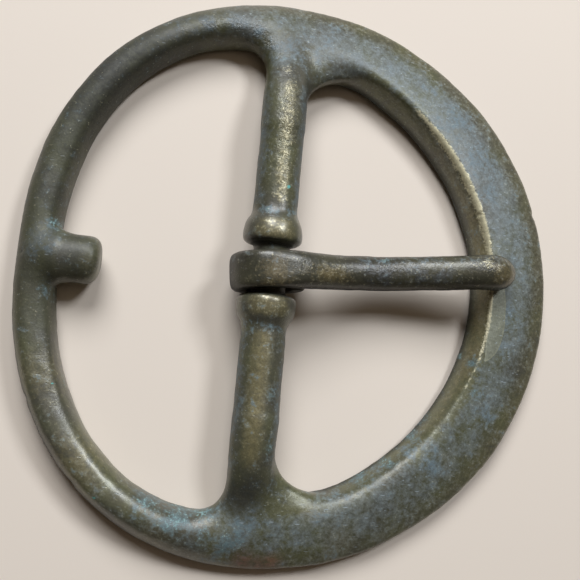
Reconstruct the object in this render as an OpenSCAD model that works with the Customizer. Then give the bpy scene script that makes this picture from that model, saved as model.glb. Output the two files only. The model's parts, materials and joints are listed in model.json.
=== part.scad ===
// Oval cast brass buckle with a centre bar, a strap stud and a swinging tongue.
//
// The ring lies on its flat back at z = 0. The middle of its outline is the
// origin, +X points to the wide crescent that the tongue rests on, +Y runs
// along the centre bar, and the stud points from the narrow side to +X.
// Lengths are in millimetres.

/* [Ring] */
// Height of the rounded, narrow half of the ring
ring_h = 5; // [4.6:0.1:5.4]
// Height of the crest along the crescent's inner side
crest_h = 4.4; // [4:0.1:4.6]
// Width of the bevel between the crescent's inner edge and its crest
crest_w = 1.6; // [1.2:0.1:2]
// How far that bevel is flat (1) or rounded (0)
bevel_flat = 0.7; // [0:0.1:1]
// Shift of the ring's crown towards -Y, from a mould that didn't quite meet
crown_shift = 0.5; // [0:0.1:0.7]
// Power of the curves beside that crown: 1 is an ellipse, and less is flatter on top
crown_power = 0.86; // [0.8:0.02:1]
// Height of the crescent's outer rim
rim_h = 2; // [1.6:0.1:2.6]
// Height at which the sides stand upright
side_h = 0.9; // [0.7:0.1:1.2]
// Bevel between the flat back and the sides
back_bevel = 0.5; // [0.3:0.1:0.6]
// Depth of the facet that the tongue has worn into the crest
wear_depth = 0.12; // [0.06:0.02:0.2]

/* [Bar] */
// Distance from the middle of the ring to the bar's axis
bar_offset = 3.2; // [2.8:0.1:3.6]
// Height of the bar's axis over its straight middle
bar_h = 5; // [4.8:0.1:5.4]
// Diameter of the bar
bar_d = 5.3; // [4.8:0.1:5.8]
// Diameter of the two collars beside the tongue
collar_d = 7.1; // [6.6:0.1:7.4]
// Length of a collar
collar_l = 3.6; // [3.2:0.1:4.2]
// How far a collar's end face slopes away from the tongue
collar_dish = 0.15; // [0.05:0.05:0.4]
// Length over which a collar narrows to the bar
collar_taper = 1.6; // [0.8:0.1:2]
// Diameter of the pivot between the collars
pivot_d = 4.2; // [3.8:0.1:4.4]
// Length of the pivot between the collars
pivot_l = 6; // [5.8:0.1:6.4]
// Radius of the fillets between the bar and the ring's round half
fillet_r = 3.8; // [3:0.1:4.2]
// Radius of the fillets between the bar and the crescent
wide_fillet_r = 6; // [5:0.1:6.2]

/* [Stud] */
// Height of the strap stud's section
stud_d = 5.3; // [4.8:0.1:5.6]
// Width of the strap stud's section
stud_w = 5.7; // [5.3:0.1:6]
// Height of the stud's axis
stud_h = 3.2; // [3.1:0.1:3.3]
// Distance of the stud's axis below the middle of the ring
stud_drop = 0.9; // [0:0.1:1.1]
// Distance from the ring's outer edge to the stud's end
stud_reach = 9.8; // [9:0.1:10.4]
// Rounding of the stud's end
stud_round = 1.3; // [0.8:0.1:1.6]
// Height of the stud's foot, where it crosses the ring
foot_d = 6; // [5.6:0.1:6.1]

/* [Tongue] */
// Outer diameter of the loop round the pivot
loop_d = 9.4; // [9:0.1:9.6]
// Width of the loop
loop_w = 4.3; // [4:0.1:4.3]
// Rounding of the loop's edges
loop_round = 0.7; // [0.4:0.1:1]
// Diameter of the bore in the loop
bore_d = 4.7; // [4.6:0.1:4.9]
// Distance of the loop's middle below the middle of the pivot
loop_drop = 0.3; // [0:0.1:0.4]
// Angle by which the tongue leans towards the upper half of the ring
tongue_yaw = 6; // [0:0.5:6]
// Length from the pivot's axis to the tip
tongue_l = 30.2; // [29:0.1:31]
// Width of the arm
arm_w = 4.15; // [3.8:0.05:4.4]
// Height of the arm
arm_h = 4; // [3.6:0.1:4.2]
// Width of the bulb at the tip
tip_w = 4.5; // [4.2:0.05:4.8]
// Gap between the wrapped end of the strip and the arm
seam_gap = 0.25; // [0.15:0.05:0.4]

/* [Hidden] */

brass = [0.42, 0.39, 0.27];
worn_brass = [0.5, 0.46, 0.3];

// Outline of the ring, the same above and below the X axis, in even steps from
// the crescent to the stud. Columns: angle from +X, outer radius, width of the
// band, and how far the section is crescent (1) or rounded bar (0)
RING_STEP = 15;
RING = [
    [  0, 32.7, 9.6, 1.0],
    [ 15, 32.8, 9.6, 1.0],
    [ 30, 33.0, 9.6, 1.0],
    [ 45, 33.3, 9.4, 1.0],
    [ 60, 33.6, 8.9, 1.0],
    [ 75, 34.2, 8.4, 1.0],
    [ 90, 34.7, 8.2, 0.9],
    [105, 35.4, 5.9, 0.6],
    [120, 35.6, 4.9, 0.3],
    [135, 35.2, 4.8, 0.1],
    [150, 34.3, 4.9, 0.0],
    [165, 33.3, 4.9, 0.0],
    [180, 32.7, 4.7, 0.0],
];
ring_turn = 4;
quarter_turn = 15;
// How far the slope outside the crest is drawn in from a rounded quarter
slope_power = 1.6;

// One end of the bar, from its straight part into the ring. Columns: distance
// from the middle of the bar, underside, and crown
BAR_END = [
    [17.0, 2.25, 7.75],
    [19.5, 2.10, 7.65],
    [21.5, 1.80, 7.40],
    [23.3, 1.40, 6.95],
    [24.8, 1.00, 6.35],
    [26.0, 0.75, 5.80],
    [27.2, 0.60, 5.25],
    [28.4, 0.50, 4.85],
    [29.6, 0.45, 4.50],
    [31.0, 0.45, 4.00],
];
// The end's oval is a little wider than the bar, so that it covers the bar's side
bar_end_w = bar_d + 0.15;
bar_square = 2.2;

// Web with the two fillets, between the bar's end and the ring's inner edge.
// The columns are those of BAR_END
WEB = [
    [19.7, 2.60, 5.60],
    [20.6, 2.45, 5.40],
    [21.5, 2.20, 5.25],
    [22.4, 1.90, 5.10],
    [23.6, 1.50, 4.90],
    [24.6, 1.10, 4.70],
    [25.3, 0.80, 4.55],
    [25.9, 0.65, 4.45],
    [26.6, 0.55, 4.40],
    [27.4, 0.45, 4.40],
    [28.0, 0.40, 4.40],
    [28.5, 0.35, 4.35],
    [29.2, 0.35, 4.20],
];
web_w = bar_d - 0.3;
web_square = 2.8;
bar_overlap = 1;
collar_round = 0.25;
// Inner edges of the ring beside the bar, on the stud side and the crescent side
stud_edge = 28.5;
crescent_edge = 25.5;
section_turn = 15;

// The tongue's arm from the loop to the tip, which dips on its way to the crest.
// Columns: distance from the pivot as a share of the tongue's length, height of
// the middle, and width and height as shares of the arm's own
ARM = [
    [0.02, 8.50, 0.96, 0.50],
    [0.08, 7.85, 0.98, 0.78],
    [0.15, 7.05, 1.00, 0.95],
    [0.20, 6.35, 1.00, 1.00],
    [0.26, 5.65, 1.00, 1.00],
    [0.33, 5.10, 1.00, 1.00],
    [0.41, 4.75, 1.00, 1.00],
    [0.50, 4.65, 1.00, 1.00],
    [0.59, 4.85, 1.00, 1.00],
    [0.67, 5.25, 1.00, 1.00],
    [0.75, 5.80, 1.00, 0.99],
    [0.82, 6.22, 1.00, 0.97],
    [0.87, 6.40, 1.02, 0.95],
    [0.92, 6.42, 1.06, 0.92],
];
TIP_STEPS = 5;
tip_power = 0.6;
tip_blunt = 0.2;
tip_z = 5.9;
arm_square = 2.2;
arm_turn = 24;

fine = 64;
bar_x = -bar_offset;
stud_y = -stud_drop;
loop_y = -loop_drop;
// Ring's outer radius on the stud's side
stud_side = RING[len(RING) - 1][1];
stud_end = stud_reach - stud_side;
// The stud's foot rises out of the ring's outer slope as the end of an oval, and
// narrows to the stud beside the opening
foot_start = 0.4 - stud_side;
foot_crown = 4.8 - stud_side;
foot_end = 6.2 - stud_side;
// The facet starts just inside the crest
wear_x = RING[0][1] - RING[0][2] + crest_w - 0.2;
wear_slope = 5.7;
wear_turn = -2;
big = 40;

function mix(a, b, t) = a + (b - a) * t;

// Smooth curve through four even values, between the second and the third
function smooth4(a, b, c, d, t) =
    b + t * ((c - a) + t * ((2 * a - 5 * b + 4 * c - d) + t * (3 * (b - c) + d - a))) / 2;

// Row of RING at any angle: outer radius, band width, crescent share
function ring_row(angle) =
    let (last = len(RING) - 1,
         turn = abs(angle) / RING_STEP,
         i = min(floor(turn), last - 1),
         before = abs(i - 1),
         after = i + 2 > last ? last - 1 : i + 2)
    [for (c = [1:3])
        smooth4(RING[before][c], RING[i][c], RING[i + 1][c], RING[after][c], turn - i)];

// Section of the ring at an angle, as points in space: the bevel from the inner
// edge up to the crest, between an ellipse and its chord, the slope down to the
// rim, and the flat back
function ring_section(angle) =
    let (row = ring_row(angle),
         outer = row[0],
         inner = row[0] - row[1],
         share = max(0, min(1, row[2])),
         crest = mix(row[1] / 2 - crown_shift * sin(angle), crest_w, share),
         top = mix(ring_h, crest_h, share),
         rim = mix(side_h, rim_h, share),
         bevel_power = mix(crown_power, 1, share),
         power = mix(crown_power, slope_power, share),
         chord = bevel_flat * share,
         flat = concat(
             [for (u = [0:quarter_turn:90])
                 [inner + crest * mix(1 - pow(cos(u), bevel_power), u / 90, chord),
                  side_h + (top - side_h) * mix(pow(sin(u), bevel_power), u / 90, chord)]],
             [for (u = [90 - quarter_turn:-quarter_turn:0])
                 [inner + crest + (row[1] - crest) * pow(cos(u), power),
                  rim + (top - rim) * pow(sin(u), power)]],
             [[outer, back_bevel], [outer - back_bevel, 0], [inner + back_bevel, 0]]))
    [for (p = flat) [p[0] * cos(angle), p[0] * sin(angle), p[1]]];

function sign_pow(v, power) = sign(v) * pow(abs(v), 2 / power);

// Half width that a fillet of radius r adds at a distance along the bar
function flare(y, edge, r) =
    let (d = max(0, min(r, y - edge + r))) r - sqrt(r * r - d * d);

// Section across the bar's end: an oval from the underside to the crown, widened
// on each side by that side's fillet if there is one
function bar_section(row, width, square, fillet) =
    let (middle = (row[1] + row[2]) / 2, half = (row[2] - row[1]) / 2,
         round_side = fillet * flare(row[0], stud_edge, fillet_r),
         crescent_side = fillet * flare(row[0], crescent_edge, wide_fillet_r))
    [for (u = [0:section_turn:359])
        let (wide = width / 2 + (cos(u) < 0 ? round_side : crescent_side))
        [bar_x + wide * sign_pow(cos(u), square), row[0],
         middle + half * sign_pow(sin(u), square)]];

// Section of the arm: an oval across the tongue, in the tongue's own frame
function arm_section(s, z, w, h) =
    [for (u = [360 - arm_turn:-arm_turn:0])
        [s, w / 2 * sign_pow(cos(u), arm_square), z + h / 2 * sign_pow(sin(u), arm_square)]];

// Closed tube through a list of sections with equal numbers of points. A ring
// joins its last section to its first, and any other tube has two flat ends
module skin(sections, is_ring) {
    n = len(sections[0]);
    m = len(sections);
    joins = is_ring ? m : m - 1;
    sides = [for (i = [0:joins - 1], j = [0:n - 1])
        let (a = i * n + j, b = i * n + (j + 1) % n,
             c = ((i + 1) % m) * n + (j + 1) % n, d = ((i + 1) % m) * n + j)
        each [[a, b, c], [a, c, d]]];
    ends = is_ring ? [] : [[for (j = [n - 1:-1:0]) j], [for (j = [0:n - 1]) (m - 1) * n + j]];
    polyhedron(points = [for (s = sections, p = s) p], faces = concat(sides, ends));
}

module ring() {
    skin([for (angle = [180:-ring_turn:ring_turn - 180]) ring_section(angle)], true);
}

// Bar, collars and pivot, turned round the bar's axis
module bar_middle() {
    collar_in = pivot_l / 2;
    collar_edge = collar_in + collar_dish;
    collar_out = collar_in + collar_l;
    end = BAR_END[0][0] + bar_overlap;
    half = [
        [pivot_d / 2, 0], [pivot_d / 2, collar_in],
        [collar_d / 2 - collar_round, collar_edge],
        [collar_d / 2, collar_edge + 2 * collar_round],
        [collar_d / 2 - collar_round, collar_out - collar_taper],
        [bar_d / 2, collar_out], [bar_d / 2, end], [0, end],
    ];
    outline = concat(half, [for (i = [len(half) - 1:-1:1]) [half[i][0], -half[i][1]]]);
    translate([bar_x, 0, bar_h]) rotate([-90, 0, 0]) rotate_extrude($fn = fine) polygon(outline);
}

// One end of the bar with its web
module bar_end() {
    skin([for (row = BAR_END) bar_section(row, bar_end_w, bar_square, 0)], false);
    skin([for (row = WEB) bar_section(row, web_w, web_square, 1)], false);
}

// Strap stud with a rounded end, and the foot that carries it over the ring
module stud() {
    r = stud_d / 2;
    body = stud_end - foot_start;
    rise = foot_crown - foot_start;
    translate([foot_start, stud_y, stud_h]) scale([1, stud_w / stud_d, 1])
        rotate([0, 90, 0]) rotate_extrude($fn = fine)
        polygon(concat(
            [for (u = [0:quarter_turn:90]) [foot_d / 2 * sin(u), rise * (1 - cos(u))]],
            [[r, foot_end - foot_start]],
            [for (u = [0:quarter_turn:90])
                [r - stud_round + stud_round * cos(u), body - stud_round + stud_round * sin(u)]],
            [[0, body]]));
}

// Space above the plane that the tongue has worn across the crest
module worn_space() {
    rotate([0, 0, wear_turn]) translate([wear_x, 0, crest_h - wear_depth])
        rotate([0, wear_slope, 0]) translate([-big / 8, -big / 2, 0]) cube([big / 4, big, big / 4]);
}

module frame() {
    color(brass) difference() {
        union() {
            ring();
            bar_middle();
            bar_end();
            mirror([0, 1, 0]) bar_end();
            stud();
        }
        worn_space();
    }
}

// Arm and tip: the rows of ARM, then sections that shrink round the tip
module arm() {
    last = ARM[len(ARM) - 1];
    tip_start = last[0] * tongue_l;
    tip_len = tongue_l - tip_start;
    skin(concat(
        [for (row = ARM) arm_section(row[0] * tongue_l, row[1], row[2] * arm_w, row[3] * arm_h)],
        [for (k = [1:TIP_STEPS])
            let (t = k / (TIP_STEPS + tip_blunt), shrink = pow(1 - t * t * t, tip_power))
            arm_section(tip_start + tip_len * t, mix(last[1], tip_z, t * t),
                        tip_w * shrink, last[3] * arm_h * shrink)]), false);
}

// Loop with rounded edges, turned round an axis across the tongue
module loop_body() {
    r = loop_d / 2;
    side = loop_w / 2;
    translate([0, 0, bar_h]) rotate([-90, 0, 0]) rotate_extrude($fn = fine)
        polygon(concat(
            [[0, -side]],
            [for (u = [-90:quarter_turn * 2:0])
                [r - loop_round + loop_round * cos(u), -side + loop_round + loop_round * sin(u)]],
            [for (u = [0:quarter_turn * 2:90])
                [r - loop_round + loop_round * cos(u), side - loop_round + loop_round * sin(u)]],
            [[0, side]]));
}

module tongue() {
    seam_z = ARM[2][1] - arm_h / 2 - 2 * seam_gap;
    color(worn_brass) difference() {
        translate([bar_x, loop_y, 0]) rotate([0, 0, tongue_yaw]) {
            difference() {
                union() {
                    loop_body();
                    arm();
                }
                translate([0, -loop_w, seam_z]) cube([loop_d / 2 + seam_gap, 2 * loop_w, seam_gap]);
            }
        }
        translate([bar_x, 0, bar_h]) rotate([-90, 0, 0])
            cylinder(d = bore_d, h = big, center = true, $fn = fine);
    }
}

frame();
tongue();
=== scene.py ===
"""Oval cast brass strap buckle: the tarnished casting, its tongue, a pale floor, soft light and a camera.

The casting lies on its flat back at z = 0. +X points to the wide crescent and +Y runs along the centre bar.
Shapes are worked out in millimetres and written to the meshes in metres.
"""

import json
import math

import bpy
import numpy as np
from bpy.props import FloatProperty, FloatVectorProperty, PointerProperty
from mathutils import Matrix, Vector


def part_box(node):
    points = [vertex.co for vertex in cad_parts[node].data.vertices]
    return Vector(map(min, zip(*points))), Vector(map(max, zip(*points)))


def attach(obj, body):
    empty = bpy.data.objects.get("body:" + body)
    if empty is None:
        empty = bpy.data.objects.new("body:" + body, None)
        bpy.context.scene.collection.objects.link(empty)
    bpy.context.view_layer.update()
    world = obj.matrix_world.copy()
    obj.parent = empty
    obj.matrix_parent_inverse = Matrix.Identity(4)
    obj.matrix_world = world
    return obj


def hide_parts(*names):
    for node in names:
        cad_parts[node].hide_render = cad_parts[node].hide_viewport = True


bl_info = {
    "name": "Cast Brass Buckle",
    "version": (1, 0, 0),
    "blender": (4, 5, 0),
    "location": "View3D > Sidebar > Buckle",
    "description": "Builds a tarnished brass strap buckle with its tongue, floor, light and camera",
    "category": "Object",
}

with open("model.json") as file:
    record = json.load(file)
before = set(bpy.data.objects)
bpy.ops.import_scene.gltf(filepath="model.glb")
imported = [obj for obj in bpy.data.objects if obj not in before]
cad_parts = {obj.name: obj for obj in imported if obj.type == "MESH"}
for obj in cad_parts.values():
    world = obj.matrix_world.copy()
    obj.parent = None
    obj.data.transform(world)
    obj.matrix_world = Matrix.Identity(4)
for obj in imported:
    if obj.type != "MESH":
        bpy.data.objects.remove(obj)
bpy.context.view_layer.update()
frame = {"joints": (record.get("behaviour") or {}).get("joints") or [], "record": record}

MM = 1000.0
JOINT = frame["joints"][0]
MOUNTS = {mount["name"]: mount for mount in frame["record"]["mounts"]}

# The pivot that the tongue swings on, and the stud's axis, in millimetres
PIVOT = np.array(JOINT["pos_m"]) * MM
STUD = np.array(MOUNTS["strap_stud"]["pos_m"]) * MM
CASTING_LOW, CASTING_HIGH = (np.array(corner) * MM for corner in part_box("frame"))
TONGUE_LOW, TONGUE_HIGH = (np.array(corner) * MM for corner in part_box("tongue"))

# Most faces that the casting may have. Each is two triangles, and the export thins a piece of 200,000
FACE_LIMIT = 99000

# Power of the crescent's curve from its crest down to the rim
SLOPE_POWER = 1.6

# Distance along the bar to the ring's inner edge, on the round side and on the crescent's
INNER_EDGES = (28.5, 25.5)

# Length over which the stud rises out of the ring, and how much thicker its foot is
STUD_RISE = 4.4
STUD_SWELL = 0.35

# How far the lower side of the stud's end slants back
STUD_SLANT = 0.22

# How much wider than the bar its end and its web are, and how square their sections are. The fillets of the
# end are too small to see, because the web has them
END_EXTRA, END_SQUARE = 0.15, 2.2
WEB_EXTRA, WEB_SQUARE = -0.3, 2.1
NO_FILLETS = (0.01, 0.01)

# Facet that the tongue has worn into the crest: its middle and half axes in plan, how square its outline
# is, where its plane starts to fall and how steeply
FACET_MIDDLE = (22.3, -2.2)
FACET_AXES = (4.4, 6.3)
FACET_POWER = 2.6
FACET_START = 24.5
FACET_SLOPE = math.tan(math.radians(5.7))

# The strip's end under the arm: its angle round the pivot, the number of sections over which it is rounded,
# and the share of its full section that it starts with
STRIP_START = math.radians(-7.4)
STRIP_ROUNDED = 6
STRIP_BLUNTNESS = 0.65

# The tongue's tip: the power by which its section shrinks, and how far its middle drops
TIP_POWER = 2.6
TIP_DROP = 0.25

# Unevenness of the casting and of the strip. Columns: height, wavelength, number of waves, seed
CASTING_WAVES = [(0.042, 6.0, 24, 3), (0.018, 1.7, 40, 5)]
TONGUE_WAVES = [(0.035, 5.0, 24, 11), (0.014, 1.4, 40, 13)]

# Outline of the ring in even steps, the same on both sides of the X axis. Columns: angle from +X in
# degrees, outer radius, width of the band, and how far the section is crescent (1) or round bar (0)
RING = np.array([
    (0, 32.7, 9.6, 1.0),
    (15, 32.8, 9.6, 1.0),
    (30, 33.0, 9.6, 1.0),
    (45, 33.3, 9.4, 1.0),
    (60, 33.6, 8.9, 1.0),
    (75, 34.2, 8.4, 1.0),
    (90, 34.7, 8.2, 0.9),
    (105, 35.4, 5.9, 0.6),
    (120, 35.6, 4.9, 0.3),
    (135, 35.2, 4.8, 0.1),
    (150, 34.3, 4.9, 0.0),
    (165, 33.3, 4.9, 0.0),
    (180, 32.7, 4.7, 0.0),
])

# One half of the bar's straight middle, turned round its axis. Columns: distance from the middle, radius
BAR = np.array([
    (0.00, 2.10),
    (2.95, 2.10),
    (3.02, 2.20),
    (3.15, 3.22),
    (3.25, 3.38),
    (3.45, 3.48),
    (3.70, 3.55),
    (4.20, 3.55),
    (4.80, 3.50),
    (5.40, 3.36),
    (5.90, 3.12),
    (6.30, 2.86),
    (6.70, 2.70),
    (7.10, 2.65),
    (8.00, 2.65),
    (18.0, 2.65),
])

# One end of the bar, from its straight part into the ring. Columns: distance from the middle of the bar,
# underside and crown
BAR_END = np.array([
    (17.0, 2.25, 7.75),
    (19.5, 2.10, 7.65),
    (21.5, 1.80, 7.40),
    (23.3, 1.40, 6.95),
    (24.8, 1.00, 6.35),
    (26.0, 0.75, 5.80),
    (27.2, 0.60, 5.25),
    (28.4, 0.50, 4.85),
    (29.6, 0.45, 4.50),
    (31.0, 0.45, 4.00),
])

# Web with the two fillets between the bar's end and the ring. The columns are those of BAR_END
WEB = np.array([
    (19.7, 2.60, 5.50),
    (20.6, 2.45, 5.30),
    (21.5, 2.20, 5.15),
    (22.4, 1.90, 5.00),
    (23.6, 1.50, 4.75),
    (24.6, 1.10, 4.55),
    (25.3, 0.80, 4.40),
    (25.9, 0.65, 4.35),
    (26.6, 0.55, 4.35),
    (27.4, 0.45, 4.35),
    (28.0, 0.40, 4.35),
    (28.5, 0.35, 4.30),
    (29.2, 0.35, 4.20),
])

# The tongue past the crown of its loop, which dips on its way to the crest. Columns: distance from the
# pivot, height of the middle, height, width, and how square the section is
ARM = np.array([
    (0.0, 8.52, 2.35, 4.30, 4.2),
    (1.2, 8.30, 2.65, 4.30, 4.0),
    (2.4, 7.88, 3.15, 4.26, 3.6),
    (4.5, 7.02, 3.75, 4.18, 3.0),
    (6.0, 6.35, 3.95, 4.15, 2.6),
    (7.9, 5.65, 4.00, 4.15, 2.2),
    (10.0, 5.10, 4.00, 4.15, 2.2),
    (12.4, 4.75, 4.00, 4.12, 2.2),
    (15.1, 4.65, 4.00, 4.12, 2.2),
    (17.8, 4.85, 4.00, 4.12, 2.2),
    (20.2, 5.25, 4.00, 4.12, 2.2),
    (22.6, 5.80, 3.96, 4.15, 2.2),
    (24.8, 6.22, 3.88, 4.18, 2.2),
    (26.3, 6.40, 3.78, 4.26, 2.2),
    (27.8, 6.42, 3.66, 4.42, 2.1),
    (30.2, 6.10, 3.55, 4.50, 2.0),
])


def linear(hex_colour):
    """Linear RGBA of an sRGB colour such as #b08d57."""
    channels = [int(hex_colour[i : i + 2], 16) / 255 for i in (1, 3, 5)]
    return (*[c / 12.92 if c <= 0.04045 else ((c + 0.055) / 1.055) ** 2.4 for c in channels], 1.0)


def per_metre(millimetres):
    """Texture scale at which a pattern's cells are this wide."""
    return MM / millimetres


def curve_through(x, table):
    """Columns of a table at each x: cubics through its rows, whose slope at a row is that between its
    neighbours. The first column holds the rows' own x."""
    at, values = table[:, 0], table[:, 1:]
    slopes = np.gradient(values, at, axis=0)
    i = np.clip(np.searchsorted(at, x) - 1, 0, len(at) - 2)
    step = (at[i + 1] - at[i])[:, None]
    t = np.clip((x - at[i])[:, None] / step, 0, 1)
    start = (1 + 2 * t) * (1 - t) ** 2 * values[i] + t * (1 - t) ** 2 * step * slopes[i]
    end = t**2 * (3 - 2 * t) * values[i + 1] - t**2 * (1 - t) * step * slopes[i + 1]
    return start + end


def mix(a, b, t):
    """Value a share t of the way from a to b."""
    return a + (b - a) * t


def signed_power(v, power):
    """v raised to a power with its sign kept."""
    return np.sign(v) * np.abs(v) ** power


def bell(distance, radius):
    """1 at no distance, falling smoothly to 0 well past the radius."""
    return np.exp(-((distance / radius) ** 2))


def step_up(value, low, high):
    """0 below low, 1 above high, and a smooth step between them."""
    t = np.clip((value - low) / (high - low), 0, 1)
    return t * t * (3 - 2 * t)


def between(value, low, full, waning, high):
    """0 below low and above high, 1 from full to waning, and smooth steps between them."""
    return step_up(value, low, full) * (1 - step_up(value, waning, high))


def highest(*values):
    """The largest of some arrays, point by point."""
    return np.maximum.reduce(values)


def grid_mesh(points, loops=False):
    """Vertices and faces of a grid of points (rows x columns x 3) whose columns close round. The rows
    close round too if loops is true, and otherwise each end gets a fan to its middle point."""
    rows, columns = points.shape[:2]
    i, j = np.meshgrid(np.arange(rows if loops else rows - 1), np.arange(columns), indexing="ij")
    after, beside = (i + 1) % rows, (j + 1) % columns
    corners = [i * columns + j, after * columns + j, after * columns + beside, i * columns + beside]
    faces = np.stack(corners, axis=-1).reshape(-1, 4).tolist()
    vertices = points.reshape(-1, 3)
    if not loops:
        turn = np.arange(columns)
        ahead = (turn + 1) % columns
        first, last = len(vertices), len(vertices) + 1
        vertices = np.vstack([vertices, points[0].mean(0), points[-1].mean(0)])
        tail = (rows - 1) * columns
        faces += np.stack([ahead, np.full(columns, first), turn], axis=-1).tolist()
        faces += np.stack([tail + turn, np.full(columns, last), tail + ahead], axis=-1).tolist()
    return vertices, faces


def outwards(vertices, faces):
    """The faces, all turned round if the closed mesh has a negative volume."""
    fan = [(face[0], face[k], face[k + 1]) for face in faces for k in range(1, len(face) - 1)]
    a, b, c = vertices[np.array(fan).T]
    volume = np.einsum("ij,ij->i", a, np.cross(b, c)).sum()
    return faces if volume > 0 else [face[::-1] for face in faces]


def joined(parts):
    """Vertices and faces of several closed meshes in one, each facing outwards."""
    vertices, faces, start = [], [], 0
    for part_vertices, part_faces in parts:
        faces += [[start + corner for corner in face] for face in outwards(part_vertices, part_faces)]
        vertices.append(part_vertices)
        start += len(part_vertices)
    return np.vstack(vertices), faces


def corner_array(faces):
    """Faces of three or four corners as an array of four, a triangle's last corner twice."""
    return np.array([face if len(face) == 4 else [*face, face[2]] for face in faces])


def vertex_normals(points, quads):
    """Unit normals: the cross product of a face's diagonals, added up at its corners."""
    a, b, c, d = (points[quads[:, k]] for k in range(4))
    across = np.cross(c - a, d - b)
    total = np.stack([
        sum(np.bincount(quads[:, k], across[:, axis], len(points)) for k in range(4)) for axis in range(3)
    ], axis=-1)
    return total / np.maximum(np.linalg.norm(total, axis=1, keepdims=True), 1e-12)


def neighbour_pairs(quads):
    """Both directions of every edge, each once."""
    edges = np.vstack([quads[:, [k, (k + 1) % 4]] for k in range(4)])
    edges = edges[edges[:, 0] != edges[:, 1]]
    return np.unique(np.vstack([edges, edges[:, ::-1]]), axis=0)


def evened(values, pairs, rounds, step=0.5, weights=1.0):
    """Each value moves a step towards the mean of its neighbours, for a number of rounds."""
    start, end = pairs.T
    count = np.bincount(start, minlength=len(values))[:, None]
    for _ in range(rounds):
        totals = [np.bincount(start, column[end], len(values)) for column in values.T]
        values = values + step * weights * (np.stack(totals, axis=-1) / count - values)
    return values


def waves(points, length, count, seed):
    """Smooth noise between about -1 and 1: the mean of sine waves of one length in random directions."""
    draw = np.random.default_rng(seed)
    ways = draw.normal(size=(count, 3))
    spread = draw.uniform(0.7, 1.4, (count, 1))
    ways *= (2 * math.pi / length) * spread / np.linalg.norm(ways, axis=1)[:, None]
    shifts = draw.uniform(0, 2 * math.pi, count)
    return np.sin(points @ ways.T + shifts).sum(axis=1) * math.sqrt(2 / count) / 2


def roughened(points, normals, table, calm):
    """Points moved along their normals by a table of waves, where calm is above 0."""
    rough = sum(height * waves(points, length, count, seed) for height, length, count, seed in table)
    return points + (rough * calm)[:, None] * normals


def ring_surface(sizes, around=900, quarter=14):
    """Ring as a grid: at each angle a section of two quarter curves and a flat back. The inner quarter runs
    from the inner edge up to the crest, nearer its chord on the crescent. The outer one falls to the
    rim. Both go by powers of the cosine and the sine of their own angle.
    The round half's crown is shifted towards -Y, from a mould that didn't quite meet."""
    angle = np.linspace(-180, 180, around, endpoint=False)
    ends = np.array([[-1, 1, 1, 1], [1, 1, 1, 1]]) * RING[[1, -2]] + [[0, 0, 0, 0], [30, 0, 0, 0]]
    table = np.vstack([ends[0], RING, ends[1]])
    outer, width, share = curve_through(np.abs(angle), table).T[:, :, None]
    share = np.clip(share, 0, 1)
    inner = outer - width
    across = np.sin(np.radians(angle))[:, None]
    crest = mix(width / 2 - sizes.crown_shift * MM * across, sizes.crest_width * MM, share)
    top = mix(sizes.ring_height * MM, sizes.crest_height * MM, share)
    side = sizes.side_height * MM
    rim = mix(side, sizes.rim_height * MM, share)
    power = mix(sizes.crown_power, SLOPE_POWER, share)
    bevel_power = mix(sizes.crown_power, 1.0, share)
    bevel = sizes.back_bevel * MM
    u = np.linspace(0, math.pi / 2, quarter)[None]
    v = u[:, -2::-1]
    chord = sizes.bevel_flatness * share**2
    back = np.zeros_like(outer)
    radius = np.hstack([
        inner + crest * mix(1 - np.cos(u) ** bevel_power, u / u[0, -1], chord),
        inner + crest + (width - crest) * np.cos(v) ** power,
        outer, outer - bevel, inner + bevel,
    ])
    height = np.hstack([
        side + (top - side) * mix(np.sin(u) ** bevel_power, u / u[0, -1], chord),
        rim + (top - rim) * np.sin(v) ** power,
        back + bevel, back, back,
    ])
    turn = np.radians(angle)[:, None]
    return np.stack([radius * np.cos(turn), radius * np.sin(turn), height], axis=-1)


def bar_surface(samples=480, around=96):
    """Bar, collars and pivot as a grid: a circle round the bar's axis, whose radius follows BAR."""
    y = np.linspace(-BAR[-1, 0], BAR[-1, 0], samples)
    radius = np.interp(np.abs(y), BAR[:, 0], BAR[:, 1])[:, None]
    turn = np.linspace(0, 2 * math.pi, around, endpoint=False)[None]
    x = PIVOT[0] + radius * np.cos(turn)
    z = PIVOT[2] + radius * np.sin(turn)
    return np.stack([x, np.broadcast_to(y[:, None], x.shape), z], axis=-1)


def bar_end_surface(table, width, square, fillets, mirror, rows=70, around=72):
    """Bar's end as a grid: an oval at each distance along the bar, between the table's underside and
    crown, widened on each side by a quarter circle up to that side's inner edge of the ring. The
    fillets are the radii on the round side and on the crescent's."""
    y = np.linspace(table[0, 0], table[-1, 0], rows)
    low, high = curve_through(y, table).T[:, :, None]
    turn = np.linspace(0, 2 * math.pi, around, endpoint=False)[None]
    edge = np.where(np.cos(turn) < 0, *INNER_EDGES)
    fillet = np.where(np.cos(turn) < 0, *fillets)
    into = np.clip(y[:, None] - edge + fillet, 0, fillet)
    half = width / 2 + fillet - np.sqrt(fillet**2 - into**2)
    x = PIVOT[0] + half * signed_power(np.cos(turn), 2 / square)
    z = (low + high) / 2 + (high - low) / 2 * signed_power(np.sin(turn), 2 / square)
    return np.stack([x, mirror * np.broadcast_to(y[:, None], x.shape), z], axis=-1)


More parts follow.
